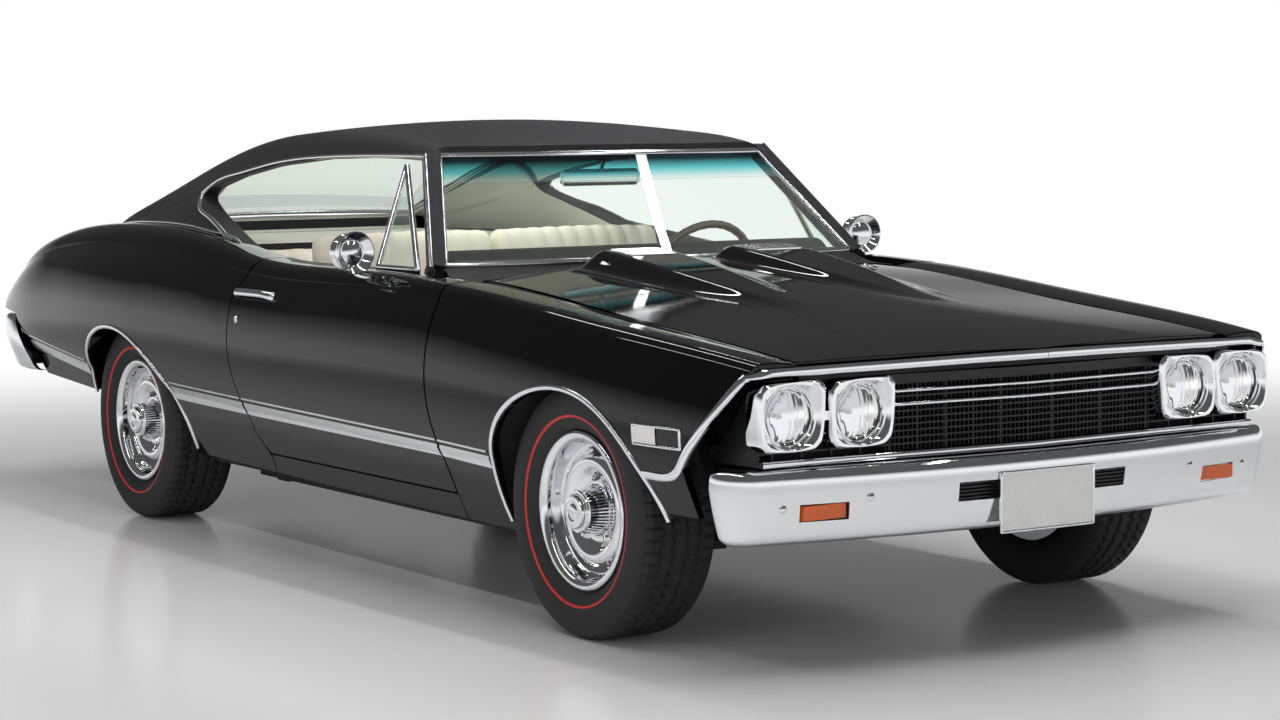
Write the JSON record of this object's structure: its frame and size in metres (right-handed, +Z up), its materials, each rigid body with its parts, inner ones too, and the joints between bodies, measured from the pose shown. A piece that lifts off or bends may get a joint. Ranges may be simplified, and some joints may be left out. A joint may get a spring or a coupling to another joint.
{
  "type": "muscle car",
  "caption": "Black two-door hardtop muscle car with vinyl roof, chrome bumpers and wheel covers, and opening doors, hood and boot lid over a furnished cabin.",
  "frame": {"origin": "on the ground, midway along the car and on its centre plane", "axes": "+X forward, +Y to the car's left, +Z up"},
  "size_m": [5.0058, 1.944, 1.3389],
  "materials": {
    "paint_black": "high gloss",
    "vinyl_black": "grained vinyl",
    "chrome": "polished",
    "glass": "tinted, clear",
    "lamp_glass": "ribbed, clear",
    "amber_lens": "moulded lens",
    "red_lens": "moulded lens",
    "black_plastic": "satin",
    "ivory_vinyl": "pleated vinyl",
    "carpet": "loop carpet over steel",
    "chassis_black": "semi-matt",
    "iron": "cast, oiled",
    "steel": "plain",
    "rubber": "moulded",
    "wood": "varnished rim"
  },
  "bodies": {
    "body": {"fender_right": "paint_black", "fender_left": "paint_black", "quarter_right": "paint_black", "quarter_left": "paint_black", "nose_panel": "paint_black", "tail_panel": "paint_black", "roof": "vinyl_black", "headlamp_bezels": "chrome", "front_bumper": "chrome", "rear_bumper": "chrome", "windscreen": "glass", "rear_window": "glass", "headlamp_lenses": "lamp_glass", "turn_lamps": "amber_lens", "tail_lamps": "red_lens", "grille": "black_plastic", "dashboard": "black_plastic", "front_seat": "ivory_vinyl", "rear_seat": "ivory_vinyl", "floor_pan": "carpet", "rear_deck": "carpet", "chassis_frame": "chassis_black", "firewall_cowl": "chassis_black", "engine_bay": "chassis_black", "fuel_tank": "chassis_black", "front_suspension": "chassis_black", "rear_axle": "chassis_black", "powertrain": "iron", "exhaust": "steel"},
    "door_right": {"door_right": "paint_black", "door_fittings_right": "chrome", "vent_frame_right": "chrome"},
    "knuckle_right": {"knuckle_right": "iron"},
    "wheel_front_right": {"wheel_front_right": "chrome", "tyre_front_right": "rubber"},
    "wheel_rear_right": {"wheel_rear_right": "chrome", "tyre_rear_right": "rubber"},
    "door_left": {"door_left": "paint_black", "door_fittings_left": "chrome", "vent_frame_left": "chrome"},
    "knuckle_left": {"knuckle_left": "iron"},
    "wheel_front_left": {"wheel_front_left": "chrome", "tyre_front_left": "rubber"},
    "wheel_rear_left": {"wheel_rear_left": "chrome", "tyre_rear_left": "rubber"},
    "hood": {"hood": "paint_black"},
    "trunk_lid": {"trunk_lid": "paint_black"},
    "steering_wheel": {"steering_wheel": "wood"}
  },
  "joints": [
    {"name": "steer_right", "type": "hinge", "parent": "body", "child": "knuckle_right", "pos_m": [1.663, -0.672, 0.332], "axis": [0, 0, 1], "range_deg": [-30, 30]},
    {"name": "wheel_front_right_spin", "type": "hinge", "parent": "knuckle_right", "child": "wheel_front_right", "pos_m": [1.663, -0.75, 0.332], "axis": [0, 1, 0], "continuous": true},
    {"name": "wheel_rear_right_spin", "type": "hinge", "parent": "body", "child": "wheel_rear_right", "pos_m": [-1.182, -0.75, 0.332], "axis": [0, 1, 0], "continuous": true},
    {"name": "door_right_swing", "type": "hinge", "parent": "body", "child": "door_right", "pos_m": [1.017, -0.924, 0.6], "axis": [0, 0, 1], "range_deg": [0, 65]},
    {"name": "steer_left", "type": "hinge", "parent": "body", "child": "knuckle_left", "pos_m": [1.663, 0.672, 0.332], "axis": [0, 0, 1], "range_deg": [-30, 30]},
    {"name": "wheel_front_left_spin", "type": "hinge", "parent": "knuckle_left", "child": "wheel_front_left", "pos_m": [1.663, 0.75, 0.332], "axis": [0, 1, 0], "continuous": true},
    {"name": "wheel_rear_left_spin", "type": "hinge", "parent": "body", "child": "wheel_rear_left", "pos_m": [-1.182, 0.75, 0.332], "axis": [0, 1, 0], "continuous": true},
    {"name": "door_left_swing", "type": "hinge", "parent": "body", "child": "door_left", "pos_m": [1.017, 0.924, 0.6], "axis": [0, 0, -1], "range_deg": [0, 65]},
    {"name": "steering_wheel_turn", "type": "hinge", "parent": "body", "child": "steering_wheel", "pos_m": [0.426, 0.37, 0.827], "axis": [-0.9272, 0, 0.3746], "range_deg": [-365, 365]},
    {"name": "hood_lift", "type": "hinge", "parent": "body", "child": "hood", "pos_m": [0.903, 0, 0.935], "axis": [0, -1, 0], "range_deg": [0, 50]},
    {"name": "trunk_lift", "type": "hinge", "parent": "body", "child": "trunk_lid", "pos_m": [-1.84, 0, 0.99], "axis": [0, 1, 0], "range_deg": [0, 70]}
  ],
  "couplings": [
    {"joint": "steer_left", "follows": "steer_right", "ratio": 1},
    {"joint": "steering_wheel_turn", "follows": "steer_right", "ratio": 12}
  ]
}
